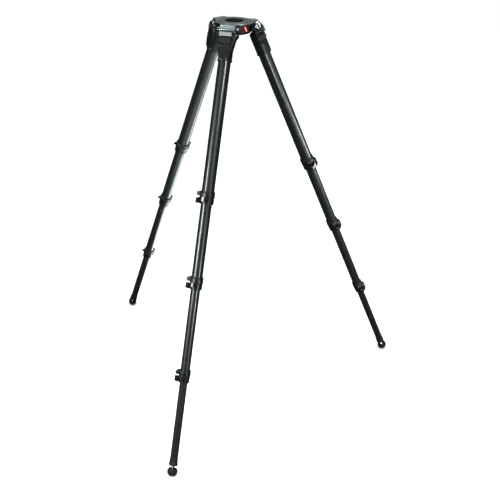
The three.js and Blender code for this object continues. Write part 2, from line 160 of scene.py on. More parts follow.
def turned(profile, sides=ROUND, radius=0.5, steps=3):
    """A solid of revolution about Z from a closed outline of (radius, z) points."""
    outline = fillet(profile, radius, steps)
    draft = bmesh.new()
    rings = []
    for i in range(sides):
        angle = 2 * math.pi * i / sides
        ring = []
        for r, z in outline:
            ring.append(draft.verts.new((max(r, 0) * math.cos(angle), max(r, 0) * math.sin(angle), z)))
        rings.append(ring)
    for i in range(sides):
        near, far = rings[i], rings[(i + 1) % sides]
        for k in range(len(outline)):
            m = (k + 1) % len(outline)
            draft.faces.new((near[k], far[k], far[m], near[m]))
    bmesh.ops.remove_doubles(draft, verts=draft.verts, dist=1e-4)
    bmesh.ops.dissolve_degenerate(draft, dist=1e-5, edges=draft.edges)
    return to_object(draft)


def rod(radius, low, high, sides=48, edge=0.4, centre=(0.0, 0.0)):
    """A round bar along Z with softened ends."""
    obj = turned([(0, low, 0), (radius, low), (radius, high), (0, high, 0)], sides, edge)
    obj.data.transform(Matrix.Translation((centre[0], centre[1], 0)))
    return obj


def prism(outline, low, high, edge=0.6, segments=3, radius=0.0):
    """An outline in X-Y swept from low to high, with rounded rims."""
    points = fillet(outline, radius) if radius else [Vector(p[:2]) for p in outline]
    draft = bmesh.new()
    floor = draft.faces.new([draft.verts.new((x, y, low)) for x, y in points])
    swept = bmesh.ops.extrude_face_region(draft, geom=[floor])
    moved = [v for v in swept["geom"] if isinstance(v, bmesh.types.BMVert)]
    bmesh.ops.translate(draft, verts=moved, vec=(0, 0, high - low))
    if edge > 0:
        rims = [e for e in draft.edges if abs(e.verts[0].co.z - e.verts[1].co.z) < 1e-6]
        bmesh.ops.bevel(draft, geom=rims, offset=edge, segments=segments, profile=0.5,
                        affect="EDGES", clamp_overlap=True)
    return to_object(draft)


def turn(obj, degrees, axis):
    obj.data.transform(Matrix.Rotation(math.radians(degrees), 4, axis))
    return obj


def shift(obj, x=0.0, y=0.0, z=0.0):
    obj.data.transform(Matrix.Translation((x, y, z)))
    return obj


def facing_y(outline, low, high, **how):
    """An outline given as (x, z), swept along Y."""
    return turn(prism(outline, -high, -low, **how), 90, "X")


def facing_x(outline, low, high, **how):
    """An outline given as (y, z), swept along X."""
    return turn(turn(prism(outline, low, high, **how), 90, "X"), 90, "Z")


def apply_modifiers(obj):
    bpy.context.view_layer.update()
    graph = bpy.context.evaluated_depsgraph_get()
    mesh = bpy.data.meshes.new_from_object(obj.evaluated_get(graph))
    obj.modifiers.clear()
    obj.data = mesh
    return obj


def discard(obj):
    bpy.data.objects.remove(obj)


def combine(base, tools, operation):
    for tool in tools:
        step = base.modifiers.new("combine", "BOOLEAN")
        step.operation = operation
        step.solver = "MANIFOLD"
        step.object = tool
        apply_modifiers(base)
        discard(tool)
    return base


def join(base, *tools):
    return combine(base, tools, "UNION")


def cut(base, *tools):
    return combine(base, tools, "DIFFERENCE")


def soften(obj, voxel, keep):
    """Melts the edges of a casting together, as a sand or pressure casting has them."""
    remesh = obj.modifiers.new("remesh", "REMESH")
    remesh.mode = "VOXEL"
    remesh.voxel_size = voxel
    smooth = obj.modifiers.new("smooth", "SMOOTH")
    smooth.factor = 0.5
    smooth.iterations = 3
    thin = obj.modifiers.new("thin", "DECIMATE")
    thin.ratio = keep
    return apply_modifiers(obj)


def copy_of(obj):
    twin = bpy.data.objects.new("draft", obj.data.copy())
    bpy.context.scene.collection.objects.link(twin)
    return twin


# Edges that turn by more than this are shaded sharp.
SHARP = math.radians(38)


def place(obj, name, matrix, body, material, slot=None, stands_for=()):
    """Finishes a draft: shading, local coordinates, its place, its body and its material."""
    weigh = obj.modifiers.new("normals", "WEIGHTED_NORMAL")
    weigh.keep_sharp = True
    obj.data.polygons.foreach_set("use_smooth", [True] * len(obj.data.polygons))
    obj.data.set_sharp_from_angle(angle=SHARP)
    apply_modifiers(obj)
    mesh = obj.data
    local = mesh.attributes.new("local", "FLOAT_VECTOR", "POINT")
    flat = [0.0] * (3 * len(mesh.vertices))
    mesh.vertices.foreach_get("co", flat)
    local.data.foreach_set("vector", flat)
    mesh.transform(matrix)
    mesh.materials.clear()
    mesh.materials.append(material)
    mesh.name = name
    obj.name = name
    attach(obj, body)
    if stands_for:
        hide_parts(*stands_for)
    return obj


# ------------------------------------------------------------------ material building
class Nodes:
    """A node tree, with short names for the nodes that the looks share."""

    def __init__(self, tree):
        self.tree = tree

    def add(self, kind, **settings):
        node = self.tree.nodes.new(kind)
        for key, value in settings.items():
            setattr(node, key, value)
        return node

    def feed(self, socket, source):
        if hasattr(source, "links"):
            self.tree.links.new(source, socket)
        else:
            socket.default_value = source

    def math(self, operation, a, b=None):
        node = self.add("ShaderNodeMath", operation=operation)
        for socket, source in zip(node.inputs, (a, b)):
            if source is not None:
                self.feed(socket, source)
        return node.outputs[0]

    def span(self, value, low, high, to_low=0.0, to_high=1.0):
        node = self.add("ShaderNodeMapRange", clamp=True)
        for socket, source in zip(node.inputs, (value, low, high, to_low, to_high)):
            self.feed(socket, source)
        return node.outputs[0]


class Finish(Nodes):
    """A Principled material."""

    def __init__(self, name, color=(0.5, 0.5, 0.5), roughness=0.5, metallic=0.0, **sockets):
        self.material = bpy.data.materials.new(name)
        self.material.use_nodes = True
        super().__init__(self.material.node_tree)
        self.shader = self.tree.nodes["Principled BSDF"]
        self.shader.inputs["Base Color"].default_value = (*color, 1)
        self.shader.inputs["Roughness"].default_value = roughness
        self.shader.inputs["Metallic"].default_value = metallic
        for socket, value in sockets.items():
            self.shader.inputs[socket.replace("_", " ")].default_value = value
        self.local = self.add("ShaderNodeAttribute", attribute_name="local").outputs["Vector"]

    def stretched(self, x=1.0, y=1.0, z=1.0):
        node = self.add("ShaderNodeMapping")
        self.feed(node.inputs["Vector"], self.local)
        node.inputs["Scale"].default_value = (x, y, z)
        return node.outputs[0]

    def noise(self, scale, detail=3.0, roughness=0.55, vector=None):
        node = self.add("ShaderNodeTexNoise")
        self.feed(node.inputs["Vector"], vector or self.local)
        node.inputs["Scale"].default_value = scale
        node.inputs["Detail"].default_value = detail
        node.inputs["Roughness"].default_value = roughness
        return node.outputs["Fac"]

    def mixed(self, factor, first, second):
        node = self.add("ShaderNodeMix", data_type="RGBA")
        self.feed(node.inputs[0], factor)
        for socket, source in ((node.inputs[6], first), (node.inputs[7], second)):
            self.feed(socket, (*source, 1) if isinstance(source, tuple) else source)
        return node.outputs[2]

    def edges(self, low=0.515, high=0.56):
        geometry = self.add("ShaderNodeNewGeometry")
        return self.span(geometry.outputs["Pointiness"], low, high)

    def color(self, source):
        self.feed(self.shader.inputs["Base Color"], source)

    def roughness(self, source):
        self.feed(self.shader.inputs["Roughness"], source)

    def metallic(self, source):
        self.feed(self.shader.inputs["Metallic"], source)

    def bump(self, height, depth, strength=1.0):
        """depth is in millimetres."""
        node = self.add("ShaderNodeBump")
        node.inputs["Strength"].default_value = strength
        node.inputs["Distance"].default_value = depth * MM
        self.feed(node.inputs["Height"], height)
        self.feed(self.shader.inputs["Normal"], node.outputs["Normal"])


# ------------------------------------------------------------------ materials
# The heights, and the distances from the axis, between which the crown's colour goes over to near black, so
# that it is darker below the rim and on the arms' flanks beside the drum.
RIM_FOOT = (-6.5, -5.2)
FLANK_END = (75.5, 77.5)


def below_rim(f):
    """1 on the drum and on the arms' flanks beside it, 0 on the rim and at the arms' tips."""
    parts = f.add("ShaderNodeSeparateXYZ")
    f.feed(parts.inputs[0], f.local)
    x, y, z = parts.outputs
    reach = f.math("SQRT", f.math("ADD", f.math("MULTIPLY", x, x), f.math("MULTIPLY", y, y)))
    return f.math("MULTIPLY", f.span(z, *RIM_FOOT, 1.0, 0.0), f.span(reach, *FLANK_END, 1.0, 0.0))


def cast_paint(name, color, edge_wear_and_highlight, roughness, metallic, lower=None):
    """Baked paint over a casting: a fine orange peel, cloudy tone, and edges made brighter, which is rubbed
    wear and, in the leg paint, also a painted highlight along the edges.
    """
    f = Finish(name, color, roughness, metallic)
    cloud = f.noise(0.045, 4)
    speck = f.noise(1.7, 2)
    lighter = tuple(min(1.0, c * 1.35 + 0.004) for c in color)
    tone = f.mixed(f.span(cloud, 0.35, 0.65), color, lighter)
    # Brighter edges: rubbed wear, and in the leg paint also a painted highlight along the panel edges.
    worn_and_highlit_edges = f.math("MULTIPLY", f.edges(), f.span(f.noise(0.5, 4), 0.42, 0.6))
    painted = f.mixed(worn_and_highlit_edges, tone, edge_wear_and_highlight)
    if lower:
        painted = f.mixed(below_rim(f), painted, lower)
    f.color(painted)
    f.roughness(f.span(speck, 0.3, 0.7, roughness - 0.07, roughness + 0.09))
    f.bump(f.math("ADD", speck, f.math("MULTIPLY", f.noise(4.5, 2), 0.5)), 0.035)
    return f.material


def turned_metal(name, color, roughness):
    """Anodised and turned: fine rings round the axis, a little cloudiness, and the ball seat made near black,
    rougher and not metallic.
    """
    f = Finish(name, color, roughness, 0.85)
    parts = f.add("ShaderNodeSeparateXYZ")
    f.feed(parts.inputs[0], f.local)
    x, y, z = parts.outputs
    radius = f.math("SQRT", f.math("ADD", f.math("MULTIPLY", x, x), f.math("MULTIPLY", y, y)))
    rings = f.add("ShaderNodeTexNoise", noise_dimensions="2D")
    ring_place = f.add("ShaderNodeCombineXYZ")
    f.feed(ring_place.inputs[0], radius)
    f.feed(ring_place.inputs[1], z)
    f.feed(rings.inputs["Vector"], ring_place.outputs[0])
    rings.inputs["Scale"].default_value = 2.4
    rings.inputs["Detail"].default_value = 3
    bright = tuple(min(1.0, c * 1.3 + 0.02) for c in color)
    seat = f.span(radius, BALL_RADIUS + 0.2, BALL_RADIUS + 0.7, 1.0, 0.0)
    tone = f.mixed(f.span(f.noise(0.05, 3), 0.35, 0.65), color, bright)
    f.color(f.mixed(seat, tone, (0.006, 0.006, 0.006)))
    polish = f.span(rings.outputs["Fac"], 0.3, 0.7, roughness - 0.06, roughness + 0.1)
    f.roughness(f.math("ADD", polish, f.math("MULTIPLY", seat, 0.45)))
    f.metallic(f.math("MULTIPLY", f.math("SUBTRACT", 1.0, seat), 0.85))
    f.bump(rings.outputs["Fac"], 0.02)
    return f.material


def carbon_weave(name, radius):
    """A 2 x 2 twill of flat carbon tows under satin lacquer, wrapped round a tube of this radius."""
    f = Finish(name, (0.02, 0.022, 0.023), 0.36, 0.0, Coat_Weight=0.5, Coat_Roughness=0.16)
    tow_width = 1.9
    repeats = 4 * round(2 * math.pi * radius / (4 * tow_width))
    pitch = 2 * math.pi * radius / repeats
    parts = f.add("ShaderNodeSeparateXYZ")
    f.feed(parts.inputs[0], f.local)
    x, y, z = parts.outputs
    around = f.math("MULTIPLY", f.math("ARCTAN2", y, x), repeats / (2 * math.pi))
    along = f.math("DIVIDE", z, pitch)
    diagonal = f.math("ADD", f.math("FLOOR", around), f.math("FLOOR", along))
    over = f.math("LESS_THAN", f.math("FLOORED_MODULO", diagonal, 4.0), 2.0)

    def tow(place):
        return f.math("SINE", f.math("MULTIPLY", f.math("FRACT", place), math.pi))

    height = f.math("ADD", f.math("MULTIPLY", over, tow(around)),
                    f.math("MULTIPLY", f.math("SUBTRACT", 1.0, over), tow(along)))
    strands = f.noise(1.0, 2, vector=f.stretched(6, 6, 0.5))
    cross = f.noise(1.0, 2, vector=f.stretched(0.8, 0.8, 7))
    fibre = f.mixed(over, cross, strands)
    tone = f.mixed(over, (0.003, 0.0042, 0.0043), (0.009, 0.0115, 0.0118))
    tone = f.mixed(f.math("MULTIPLY", fibre, 0.45), tone, (0.015, 0.019, 0.0195))
    cloud = f.span(f.noise(0.02, 3), 0.3, 0.7, 0.0, 0.35)
    f.color(f.mixed(cloud, tone, (0.009, 0.0115, 0.012)))
    f.roughness(f.span(f.noise(0.08, 4), 0.3, 0.7, 0.34, 0.46))
    f.bump(height, 0.05, 0.6)
    return f.material


def moulded(name, color, roughness, coat=0.0, grain=0.02):
    """Moulded plastic: a faint grain, handling marks, and paler rubbed edges."""
    f = Finish(name, color, roughness, 0.0, Coat_Weight=coat, Coat_Roughness=0.12)
    marks = f.noise(1.0, 5, 0.65, f.stretched(0.9, 0.9, 0.12))
    rubbed = tuple(min(1.0, c * 2.2 + 0.03) for c in color)
    f.color(f.mixed(f.math("MULTIPLY", f.edges(0.52, 0.6), 0.5), color, rubbed))
    f.roughness(f.span(marks, 0.35, 0.7, roughness - 0.04, roughness + 0.12))
    f.bump(f.noise(2.2, 3), grain)
    return f.material


def polished_steel(name, roughness=0.1, color=(0.78, 0.79, 0.8)):
    f = Finish(name, color, roughness, 1.0)
    hairline = f.noise(1.0, 4, 0.6, f.stretched(0.6, 0.6, 9))
    f.roughness(f.span(hairline, 0.3, 0.75, roughness * 0.7, roughness + 0.12))
    f.color(f.mixed(f.span(f.noise(0.3, 3), 0.35, 0.7), color, tuple(c * 0.86 for c in color)))
    f.bump(hairline, 0.004)
    return f.material


def brushed_plate(name):
    f = Finish(name, (0.55, 0.56, 0.57), 0.34, 0.9)
    grain = f.noise(1.0, 4, 0.7, f.stretched(0.15, 0.15, 14))
    f.color(f.mixed(f.span(grain, 0.35, 0.7), (0.42, 0.43, 0.44), (0.68, 0.69, 0.7)))
    f.roughness(f.span(grain, 0.3, 0.7, 0.26, 0.44))
    f.bump(grain, 0.01)
    return f.material


def rubber(name):
    """Matt rubber, dusty where it meets the ground."""
    black = (0.004, 0.004, 0.004)
    f = Finish(name, black, 0.78, 0.0)
    parts = f.add("ShaderNodeSeparateXYZ")
    f.feed(parts.inputs[0], f.local)
    low = f.span(parts.outputs[2], -FOOT_RADIUS, 4.0, 0.5, 0.0)
    dust = f.math("MULTIPLY", low, f.span(f.noise(0.35, 5, 0.7), 0.4, 0.7))
    f.color(f.mixed(dust, black, (0.05, 0.048, 0.044)))
    f.roughness(f.span(f.noise(1.1, 3), 0.3, 0.7, 0.66, 0.86))
    f.bump(f.noise(2.6, 4), 0.05)
    return f.material


def level_glass(name):
    f = Finish(name, (0.72, 0.86, 0.5), 0.03, 0.0, Transmission_Weight=0.75, IOR=1.46)
    f.roughness(f.span(f.noise(0.8, 3), 0.3, 0.7, 0.02, 0.08))
    f.color(f.mixed(f.span(f.noise(0.4, 2), 0.3, 0.7), (0.62, 0.82, 0.42), (0.78, 0.9, 0.6)))
    return f.material


def floor_paper(name):
    f = Finish(name, (0.86, 0.86, 0.86), 0.75, 0.0)
    f.color(f.mixed(f.span(f.noise(0.004, 3), 0.3, 0.7), (0.85, 0.85, 0.85), (0.88, 0.88, 0.88)))
    f.roughness(f.span(f.noise(0.3, 3), 0.3, 0.7, 0.7, 0.85))
    f.bump(f.noise(0.8, 3), 0.02)
    return f.material


CROWN_PAINT = cast_paint("crown_paint", (0.24, 0.28, 0.275), (0.5, 0.55, 0.54), 0.28, 0.85,
                         lower=(0.006, 0.007, 0.007))
# The leg paint's pale edge colour is partly rubbed wear and partly a painted highlight that makes the
# shoulders' panel edges read.
LEG_PAINT = cast_paint("leg_paint", (0.006, 0.007, 0.0073), (0.16, 0.17, 0.17), 0.34, 0.2)
LOCK_PAINT = cast_paint("lock_paint", (0.006, 0.0065, 0.007), (0.05, 0.05, 0.05), 0.32, 0.1)
ADAPTER_METAL = turned_metal("adapter_metal", (0.12, 0.13, 0.128), 0.32)
CARBON = [carbon_weave(f"carbon_{stage + 1}", radius) for stage, radius in enumerate(TUBE_RADII)]
LATCH_PLASTIC = moulded("latch_plastic", (0.009, 0.0095, 0.01), 0.42)
LEVER_PLASTIC = moulded("lever_plastic", (0.005, 0.005, 0.0055), 0.24, coat=0.5, grain=0.006)
PLUG_PLASTIC = moulded("plug_plastic", (0.008, 0.008, 0.0085), 0.42)
BUSH_NYLON = moulded("bush_nylon", (0.05, 0.052, 0.052), 0.5)
BADGE_RED = moulded("badge_red", (0.06, 0.006, 0.006), 0.28, coat=0.3, grain=0.006)
BADGE_PALE = moulded("badge_pale", (0.52, 0.24, 0.2), 0.35, coat=0.2, grain=0.006)
STEEL = polished_steel("polished_steel")
CAP_STEEL = polished_steel("cap_steel", 0.22, (0.36, 0.37, 0.38))
DARK_STEEL = polished_steel("dark_steel", 0.3, (0.06, 0.06, 0.063))
PLATE = brushed_plate("brushed_plate")
RUBBER = rubber("foot_rubber")
VIAL = level_glass("level_vial_glass")


# ------------------------------------------------------------------ crown
# Heights are below the adapter's top face.
AZIMUTHS = {"right": 30, "left": 150, "front": 270}
CROWN_TOP = -1.5
RIM_RADIUS = 60.5
DRUM_RADIUS = 57.0
DRUM_BOTTOM = -36.0
RIM_TIP = 78.5
ARM_HALF_WIDTH = 25.0
ARM_BOTTOM = -31.5
BOWL_RADIUS = 50.0
FLANGE_RADIUS = 55.0
PIN_REACH = 66.0
PIN_DEPTH = 17.5
PIN_RADIUS = 4.0
# The round end of each arm, and the room that the shoulder leaves for it.
ARM_BARREL = 16.0
ARM_SWEEP = 20.8
SCREW_CIRCLE = 48.5
SCREW_ANGLES = (-14, 106, 226)
BADGE_AZIMUTH = -35
BADGE_HALF_ANGLE = 14


def sphere_profile(radius, centre, start, end, steps):
    heights = [start + (end - start) * i / steps for i in range(steps + 1)]
    return [(math.sqrt(radius ** 2 - (z - centre) ** 2), z, 0) for z in heights]


def rim_outline():
    """A disc with three square-ended arms, filleted where they meet it."""
    corner = 6.0
    outline = []
    for azimuth in sorted(AZIMUTHS.values()):
        turn_to = Matrix.Rotation(math.radians(azimuth), 2)
        arm = [(58, -ARM_HALF_WIDTH - 3.2, 9), (64, -ARM_HALF_WIDTH, 6), (RIM_TIP, -ARM_HALF_WIDTH, corner),
               (RIM_TIP, ARM_HALF_WIDTH, corner), (64, ARM_HALF_WIDTH, 6), (58, ARM_HALF_WIDTH + 3.2, 9)]
        for x, y, radius in arm:
            place_at = turn_to @ Vector((x, y))
            outline.append((place_at.x, place_at.y, radius))
        outline += [(x, y, 0) for x, y in arc(RIM_RADIUS, azimuth + 35, azimuth + 85, 12)]
    return fillet(outline, corner)


def crown_casting():
    rim_thickness = 3.5
    arm_root = 45
    well = 43
    bowl_foot = -26
    step = -3.3
    lip = FLANGE_RADIUS + 0.35
    drum = turned([(0, DRUM_BOTTOM, 0), (51, DRUM_BOTTOM, 2), (DRUM_RADIUS, DRUM_BOTTOM + 5, 3),
                   (DRUM_RADIUS, CROWN_TOP - 1, 0), (0, CROWN_TOP - 1, 0)])
    rim = prism(rim_outline(), CROWN_TOP - rim_thickness, CROWN_TOP, edge=1.0)
    arms = []
    top = CROWN_TOP - 0.3
    first = math.degrees(math.asin((ARM_BOTTOM + PIN_DEPTH) / ARM_BARREL))
    last = math.degrees(math.asin((top + PIN_DEPTH) / ARM_BARREL))
    barrel = arc(ARM_BARREL, first, last, 32, (PIN_REACH, -PIN_DEPTH))
    side_view = [(arm_root, top), (arm_root, ARM_BOTTOM), *barrel]
    for azimuth in AZIMUTHS.values():
        arms.append(turn(facing_y(side_view, -ARM_HALF_WIDTH, ARM_HALF_WIDTH, edge=1.4), azimuth, "Z"))
    body = soften(join(drum, rim, *arms), 0.9, 0.4)
    hollow = turned([(0, DRUM_BOTTOM - 1, 0), (well, DRUM_BOTTOM - 1, 0), (well, bowl_foot, 0.6),
                     *sphere_profile(BOWL_RADIUS, CROWN_TOP, bowl_foot, step, 12),
                     (lip, step, 0), (lip, 1, 0), (0, 1, 0)], 120)
    holes = []
    for azimuth in AZIMUTHS.values():
        hole = turn(rod(PIN_RADIUS + CLEARANCE, -30, 30, 32, 0), 90, "X")
        holes.append(turn(shift(hole, PIN_REACH, 0, -PIN_DEPTH), azimuth, "Z"))
    return cut(body, hollow, *holes)


def bowl_adapter():
    wall = 4.8
    outlet = 18.0
    seat_foot = -math.sqrt(BALL_RADIUS ** 2 - outlet ** 2)
    cup_foot = seat_foot - 3
    web = -6.5
    skirt_bore = 41
    skirt_foot = -25
    flange_foot = -3
    groove = [(43.6, 0, 0.2), (43.3, -0.5, 0.2), (42.7, -0.5, 0.2), (42.4, 0, 0.2)]
    ring = turned([
        *sphere_profile(BALL_RADIUS, 0, -0.35, seat_foot, 14),
        (outlet, cup_foot, 0.5),
        *sphere_profile(BALL_RADIUS + wall, 0, cup_foot, web, 8),
        (skirt_bore, web, 1.5), (skirt_bore, skirt_foot, 0.6),
        *sphere_profile(BOWL_RADIUS - 0.35, CROWN_TOP, skirt_foot, flange_foot, 10),
        (FLANGE_RADIUS, flange_foot, 0.3), (FLANGE_RADIUS, 0, 0.9), *groove, (BALL_RADIUS + 0.6, 0, 0.3),
    ], 144, 0.3)
    sockets = [turn(rod(3.1, -1.6, 1, 32, 0, (SCREW_CIRCLE, 0)), angle, "Z") for angle in SCREW_ANGLES]
    return cut(ring, *sockets)


def adapter_screws():
    heads = []
    for angle in SCREW_ANGLES:
        head = rod(2.9, -1.5, -0.25, 32, 0.3, (SCREW_CIRCLE, 0))
        socket = prism(arc(1.35, 0, 300, 5, (SCREW_CIRCLE, 0)), -0.95, 1, edge=0)
        heads.append(turn(cut(head, socket), angle, "Z"))
    return join(*heads)


def drum_shell(inner, outer, low, high, edge):
    """A curved sheet over the drum, as wide as the badge. inner and outer are off the drum's face."""
    half = BADGE_HALF_ANGLE
    front = arc(DRUM_RADIUS + outer, -half, half, 24)
    back = arc(DRUM_RADIUS + inner, half, -half, 24)
    return prism([*front, *back], low, high, edge=edge)


def badge_plate():
    return turn(drum_shell(0.3, 1.5, -29, -7, 0.4), BADGE_AZIMUTH, "Z")


def badge_bar():
    """A plain pale bar, raised on the badge and leaning over."""
    half, reach, lean, middle = 3, 8.6, 28, -18
    outline = [(-half, -reach), (half, -reach), (half, reach), (-half, reach)]
    bar = turn(facing_x(outline, 50, 70, edge=0, radius=1.4), lean, "X")
    bar = combine(bar, [drum_shell(1.2, 2.0, -12, 12, 0)], "INTERSECT")
    return turn(shift(bar, z=middle), BADGE_AZIMUTH, "Z")


def level_body():
    return turned([(0, 0, 0), (6.5, 0, 0.2), (6.5, 1.8, 0.5), (5.2, 2.3, 0.3), (4.6, 2.3, 0.2), (4.6, 1.0, 0),
                   (0, 1.0, 0)], 64)


def level_vial():
    dome = sphere_profile(6.2, -3.1, 2.35, 3.05, 6)
    return turned([(0, 1.3, 0), (4.3, 1.3, 0), (4.3, 2.2, 0.3), *dome, (0, 3.1, 0)], 64, 0.2)


def level_marks():
    """The target ring, seen through the vial."""
    return turned([(2.1, 1.05, 0), (2.5, 1.05, 0), (2.5, 1.22, 0), (2.1, 1.22, 0)], 48, 0)


def build_crown():
    to_row = crown_matrix()
    place(crown_casting(), "crown_body", to_row, "crown", CROWN_PAINT, "crown_metal", ["crown_casting"])
    place(bowl_adapter(), "adapter_ring", to_row, "adapter", ADAPTER_METAL, "adapter_metal", ["bowl_adapter"])
    place(adapter_screws(), "adapter_screws", to_row, "adapter", DARK_STEEL)
    place(badge_plate(), "badge_red_plate", to_row, "crown", BADGE_RED, "badge_red", ["badge"])
    place(badge_bar(), "badge_pale_bar", to_row, "crown", BADGE_PALE)
    low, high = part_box("level_body")
    level = Matrix.Translation(((low.x + high.x) / 2, (low.y + high.y) / 2, low.z)) @ Matrix.Scale(MM, 4)
    place(level_body(), "level_housing", level, "crown", LATCH_PLASTIC, "level_black", ["level_body"])
    place(level_vial(), "level_glass_vial", level, "crown", VIAL, "level_glass", ["level_vial"])
    place(level_marks(), "level_target_ring", level, "crown", LEVER_PLASTIC)


# ------------------------------------------------------------------ shoulder, hinge and latch
# In the hinge frame: origin at the pin, X outward, Y across, -Z down the leg.
EAR_RADIUS = 11.0
EAR_FACE = 30.0
HIP_HALF_WIDTH = 35.5
SHOULDER_OUTER = 20.0
SHOULDER_LENGTH = 97.0
BRIDGE_FACE = 23.9
PLATE_BACK = 23.2
PLATE_HALF_WIDTH = 20.0
PLATE_LOW = -22.5
PLATE_HIGH = -10.5
LATCH_FLOOR = 15.6
LATCH_HALF_WIDTH = 17.0
LATCH_TOP = -24.5
LATCH_FOOT = -44.0
LATCH_TRAVEL = 5.0


def mirrored(outline):
    """A right-hand outline closed with its mirror image."""
    return [*outline, *[(-x, z, *more) for x, z, *more in reversed(outline)]]


def shoulder_section():
    """Level section that rounds the shoulder's corners: a superellipse about the tube's axis."""
    deep = SHOULDER_OUTER + PIN_TO_LEG_AXIS
    wide, power, steps = 42.0, 0.8, 96
    points = []
    for i in range(steps):
        angle = 2 * math.pi * (i + 0.5) / steps
        x, y = math.cos(angle), math.sin(angle)
        points.append((deep * math.copysign(abs(x) ** power, x) - PIN_TO_LEG_AXIS,
                       wide * math.copysign(abs(y) ** power, y)))
    return points


def shoulder_block():
    """Ears and hips in front view, the latch face in side view, and rounded corners from above."""
    front = mirrored([(EAR_FACE, 14, 0), (EAR_FACE, -9.5, 1.5), (HIP_HALF_WIDTH, -13.5, 2),
                      (HIP_HALF_WIDTH, -18, 3), (28.5, -30, 8), (26, -46, 12), (22.5, -62, 20),
                      (14, -SHOULDER_LENGTH, 0)])
    back = [(-EAR_RADIUS, -20), (-10, -28), (-10, -SHOULDER_LENGTH)]
    face = [(SHOULDER_OUTER - 2, -SHOULDER_LENGTH), (SHOULDER_OUTER, -SHOULDER_LENGTH + 12),
            (SHOULDER_OUTER, -40), (SHOULDER_OUTER - 2, -28)]
    side = [*arc(EAR_RADIUS, -14, 180, 28), *back, *face]
    section = prism(shoulder_section(), -SHOULDER_LENGTH - 1, EAR_RADIUS + 2, edge=0)
    block = facing_x(fillet(front, 1, 10), -40, 40, edge=0)
    return combine(block, [facing_y(side, -45, 45, edge=0), section], "INTERSECT")


def shoulder_sleeve():
    """The round part that grips the top tube, with a lip at its lower end."""
    radius = TUBE_RADII[0] + 2.8
    lip = radius + 0.8
    sleeve = turned([(0, -SHOULDER_LENGTH, 0), (lip, -SHOULDER_LENGTH, 0.8), (lip, 5 - SHOULDER_LENGTH, 0.6),
                     (radius, 7 - SHOULDER_LENGTH, 0.6), (radius, -25, 2), (18, -21, 0), (0, -21, 0)])
    return shift(sleeve, x=-PIN_TO_LEG_AXIS)


def shoulder():
    low = LATCH_TOP + CLEARANCE
    half = ARM_HALF_WIDTH - 0.5
    bridge = facing_x([(-half, low), (half, low), (half, -6.5), (14, -5.5), (-14, -5.5), (-half, -6.5)],
                      10, BRIDGE_FACE, edge=0)
    panel = facing_x(fillet([(-16.5, -52), (-11.5, -91), (11.5, -91), (16.5, -52)], 3), 18.6, 30, edge=0)
    body = cut(join(shoulder_block(), shoulder_sleeve(), bridge), panel)
    body = soften(body, 0.7, 0.4)
    slot = ARM_HALF_WIDTH + CLEARANCE
    sweep = turn(rod(ARM_SWEEP, -slot, slot, ROUND, 0), 90, "X")
    pin_hole = turn(rod(PIN_RADIUS + CLEARANCE, -40, 40, 32, 0), 90, "X")
    tube_axis = (-PIN_TO_LEG_AXIS, 0)
    bore = rod(TUBE_RADII[0] + CLEARANCE, -SHOULDER_LENGTH - 1, -45.7, ROUND, 0, tube_axis)
    way = rod(TUBE_RADII[1] + 0.8, -47, 0, ROUND, 0, tube_axis)
    half = LATCH_HALF_WIDTH + CLEARANCE
    foot = LATCH_FOOT - LATCH_TRAVEL - CLEARANCE
    recess = facing_x([(-half, foot), (half, foot), (half, low), (-half, low)],
                      LATCH_FLOOR, 30, edge=0)
    half = PLATE_HALF_WIDTH + CLEARANCE
    under, over = PLATE_LOW - CLEARANCE, PLATE_HIGH + CLEARANCE
    outline = fillet([(-half, under), (half, under), (half, over), (-half, over)], 1.8)
    seat = facing_x(outline, PLATE_BACK - CLEARANCE, 30, edge=0)
    return cut(body, sweep, pin_hole, bore, way, recess, seat)


def hinge_bolt():
    """A bolt through both ears, with a domed socket cap at each end."""
    face = EAR_FACE + CLEARANCE
    cap = [(PIN_RADIUS, face, 0), (8.5, face, 0.2), (8.5, face + 2.7, 1), (7.6, face + 5.1, 2),
           (5.4, face + 6.9, 2), (0, face + 7.7, 0)]
    outline = [*cap, *[(r, -z, more) for r, z, more in reversed(cap)]]
    sockets = [prism(arc(2.3, 0, 300, 5), low, high, edge=0)
               for low, high in ((face + 5.2, face + 12), (-face - 12, -face - 5.2))]
    return turn(cut(turned(outline, 64, 0, 4), *sockets), 90, "X")


def ear_washers():
    """The dark ring each cap seats on, let into the ear."""
    face = EAR_FACE
    rings = []
    for sign in (1, -1):
        section = [(8.8, face - 0.4), (10.2, face - 0.4), (10.2, face + 0.5), (8.8, face + 0.5)]
        ring = turned(section, 64, 0.25)
        rings.append(turn(ring, -90 * sign, "X"))
    return join(*rings)


def angle_latch():
    back = LATCH_FLOOR + CLEARANCE
    steps = [(back, LATCH_TOP), (back, LATCH_FOOT), (21.6, LATCH_FOOT), (22.4, LATCH_FOOT + 1),
             (22.4, LATCH_FOOT + 4)]
    for ridge in range(4):
        z = LATCH_FOOT + 5.2 + ridge * 2.6
        steps += [(20.6 - 0.2 * ridge, z), (21.6 - 0.3 * ridge, z + 0.6), (21.4 - 0.3 * ridge, z + 1.6)]
    steps.append((19.0, LATCH_TOP))
    return facing_y(fillet(steps, 0.35, 3), -LATCH_HALF_WIDTH, LATCH_HALF_WIDTH, edge=0.5)


def name_plate():
    """A blank plate with a raised border."""
    def panel(half, low, high, corner, back, face, edge):
        outline = fillet([(-half, low), (half, low), (half, high), (-half, high)], corner)
        return facing_x(outline, back, face, edge=edge)

    plate = panel(PLATE_HALF_WIDTH, PLATE_LOW, PLATE_HIGH, 1.6, PLATE_BACK, PLATE_BACK + 1.2, 0.3)
    border = 1.6
    field = panel(PLATE_HALF_WIDTH - border, PLATE_LOW + border, PLATE_HIGH - border, 1.0,
                  PLATE_BACK + 0.8, PLATE_BACK + 3, 0)
    return cut(plate, field)


